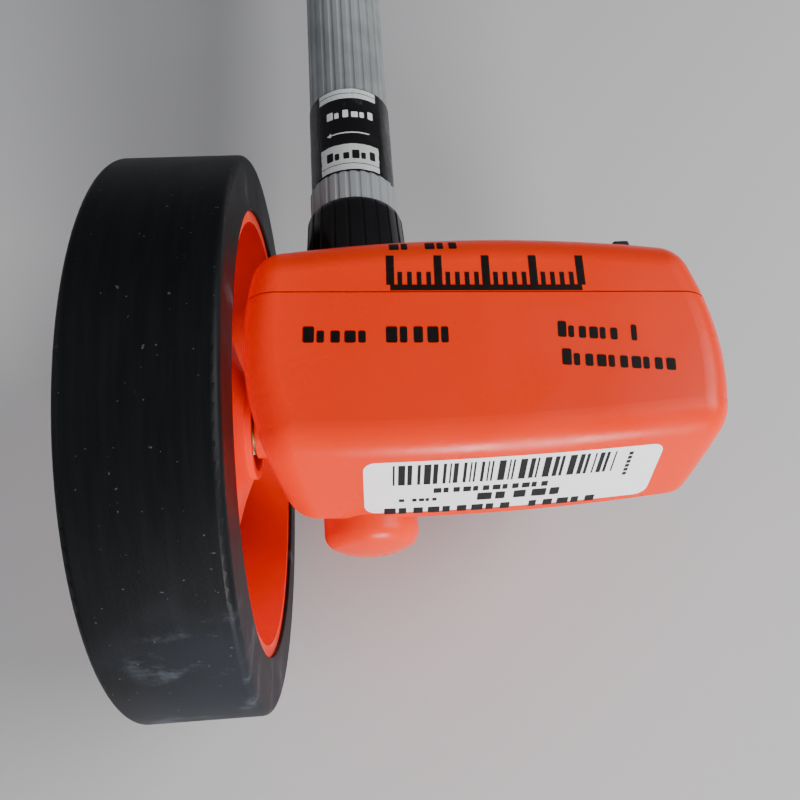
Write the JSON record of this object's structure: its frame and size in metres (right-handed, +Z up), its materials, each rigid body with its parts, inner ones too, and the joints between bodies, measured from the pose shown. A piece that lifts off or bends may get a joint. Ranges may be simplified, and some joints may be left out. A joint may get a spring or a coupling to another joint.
{
  "type": "measuring wheel",
  "caption": "Compact walking measuring wheel: rubber-tyred wheel, side housing with a drum counter and reset button, and a telescopic twist-lock handle with a grip.",
  "frame": {"origin": "where the middle of the tyre's width touches the ground, straight below the axle", "axes": "+X along the axle from the wheel towards the counter housing, +Y along the handle from the housing towards the grip, +Z up, with the handle level and the wheel on the ground"},
  "size_m": [0.1599, 0.445, 0.1592],
  "materials": {
    "tyre": "moulded, faintly scuffed",
    "orange_plastic": "satin moulded",
    "rim_plastic": "satin moulded",
    "black_plastic": "glossy, ribbed",
    "black_matte": "satin",
    "tube_metal": "grey anodised, fluted",
    "grey_plastic": "satin",
    "foil": "printed foil",
    "steel": "turned",
    "zinc": "zinc plated",
    "bronze": "sintered",
    "acetal": "natural acetal",
    "drum_plastic": "black with white figures",
    "clear": "clear moulded",
    "grip_rubber": "fine grained"
  },
  "bodies": {
    "root": {"housing_body": "orange_plastic", "housing_cover": "orange_plastic", "outer_bush": "bronze", "inner_bush": "bronze", "housing_screws": "zinc", "counter_screws": "zinc", "counter_bezel": "black_plastic", "counter_lens": "clear", "reset_spring": "steel", "counter_frame": "zinc", "counter_shaft": "steel", "transfer_shaft": "steel", "shaft_clips": "zinc", "lower_tube": "tube_metal", "socket_pin": "steel", "handle_collar": "black_plastic", "tube_ferrule": "grey_plastic", "foil_label": "foil", "end_ring_1": "black_matte"},
    "wheel": {"tyre": "tyre", "wheel_rim": "rim_plastic", "axle": "steel", "thrust_washer": "acetal", "hub_cap": "black_matte", "drive_pinion": "acetal", "axle_clip": "zinc"},
    "drum_1": {"counter_gear": "acetal", "digit_drum_1": "drum_plastic"},
    "reset": {"reset_button": "black_matte", "reset_bar": "zinc"},
    "second_section": {"second_tube": "tube_metal", "end_ring_2": "black_matte", "lock_plug_1": "black_matte"},
    "third_section": {"third_tube": "tube_metal", "end_ring_3": "black_matte", "lock_plug_2": "black_matte"},
    "upper_section": {"upper_tube": "tube_metal", "lock_plug_3": "black_matte", "grip": "grip_rubber", "end_cap": "black_matte"},
    "cam_1": {"lock_cam_1": "acetal"},
    "cam_2": {"lock_cam_2": "acetal"},
    "cam_3": {"lock_cam_3": "acetal"},
    "drum_2": {"digit_drum_2": "drum_plastic"},
    "drum_3": {"digit_drum_3": "drum_plastic"},
    "drum_4": {"digit_drum_4": "drum_plastic"},
    "drum_5": {"digit_drum_5": "drum_plastic"},
    "transfer_1": {"transfer_pinion_1": "acetal"},
    "transfer_2": {"transfer_pinion_2": "acetal"},
    "transfer_3": {"transfer_pinion_3": "acetal"},
    "transfer_4": {"transfer_pinion_4": "acetal"}
  },
  "joints": [
    {"name": "wheel_spin", "type": "hinge", "parent": "root", "child": "wheel", "pos_m": [0, 0, 0.07958], "axis": [1, 0, 0], "continuous": true},
    {"name": "drum_1_turn", "type": "hinge", "parent": "root", "child": "drum_1", "pos_m": [0, 0.0225, 0.07958], "axis": [1, 0, 0], "continuous": true},
    {"name": "drum_2_turn", "type": "hinge", "parent": "root", "child": "drum_2", "pos_m": [0, 0.0225, 0.07958], "axis": [1, 0, 0], "continuous": true},
    {"name": "drum_3_turn", "type": "hinge", "parent": "root", "child": "drum_3", "pos_m": [0, 0.0225, 0.07958], "axis": [1, 0, 0], "continuous": true},
    {"name": "drum_4_turn", "type": "hinge", "parent": "root", "child": "drum_4", "pos_m": [0, 0.0225, 0.07958], "axis": [1, 0, 0], "continuous": true},
    {"name": "drum_5_turn", "type": "hinge", "parent": "root", "child": "drum_5", "pos_m": [0, 0.0225, 0.07958], "axis": [1, 0, 0], "continuous": true},
    {"name": "transfer_1_turn", "type": "hinge", "parent": "root", "child": "transfer_1", "pos_m": [0, 0.0225, 0.06558], "axis": [1, 0, 0], "continuous": true},
    {"name": "transfer_2_turn", "type": "hinge", "parent": "root", "child": "transfer_2", "pos_m": [0, 0.0225, 0.06558], "axis": [1, 0, 0], "continuous": true},
    {"name": "transfer_3_turn", "type": "hinge", "parent": "root", "child": "transfer_3", "pos_m": [0, 0.0225, 0.06558], "axis": [1, 0, 0], "continuous": true},
    {"name": "transfer_4_turn", "type": "hinge", "parent": "root", "child": "transfer_4", "pos_m": [0, 0.0225, 0.06558], "axis": [1, 0, 0], "continuous": true},
    {"name": "reset_press", "type": "slide", "parent": "root", "child": "reset", "axis": [0, -1, 0], "range_m": [0, 0.0024], "stiffness_N_per_m": 200, "springref_m": -0.004, "deforming": ["reset_spring"]},
    {"name": "slide_1", "type": "slide", "parent": "root", "child": "second_section", "axis": [0, 1, 0], "range_m": [0, 0.178]},
    {"name": "slide_2", "type": "slide", "parent": "second_section", "child": "third_section", "axis": [0, 1, 0], "range_m": [0, 0.178]},
    {"name": "slide_3", "type": "slide", "parent": "third_section", "child": "upper_section", "axis": [0, 1, 0], "range_m": [0, 0.178]},
    {"name": "cam_1_twist", "type": "hinge", "parent": "second_section", "child": "cam_1", "pos_m": [0.04555, 0, 0.07958], "axis": [0, 1, 0], "range_deg": [0, 90]},
    {"name": "cam_2_twist", "type": "hinge", "parent": "third_section", "child": "cam_2", "pos_m": [0.04555, 0, 0.07958], "axis": [0, 1, 0], "range_deg": [0, 90]},
    {"name": "cam_3_twist", "type": "hinge", "parent": "upper_section", "child": "cam_3", "pos_m": [0.04555, 0, 0.07958], "axis": [0, 1, 0], "range_deg": [0, 90]}
  ],
  "couplings": [
    {"joint": "drum_1_turn", "follows": "wheel_spin", "ratio": -0.5},
    {"joint": "drum_2_turn", "follows": "wheel_spin", "ratio": -0.05},
    {"joint": "drum_3_turn", "follows": "wheel_spin", "ratio": -0.005},
    {"joint": "drum_4_turn", "follows": "wheel_spin", "ratio": -0.0005},
    {"joint": "drum_5_turn", "follows": "wheel_spin", "ratio": -0.00005},
    {"joint": "transfer_1_turn", "follows": "wheel_spin", "ratio": 0.125},
    {"joint": "transfer_2_turn", "follows": "wheel_spin", "ratio": 0.0125},
    {"joint": "transfer_3_turn", "follows": "wheel_spin", "ratio": 0.00125},
    {"joint": "transfer_4_turn", "follows": "wheel_spin", "ratio": 0.000125}
  ]
}
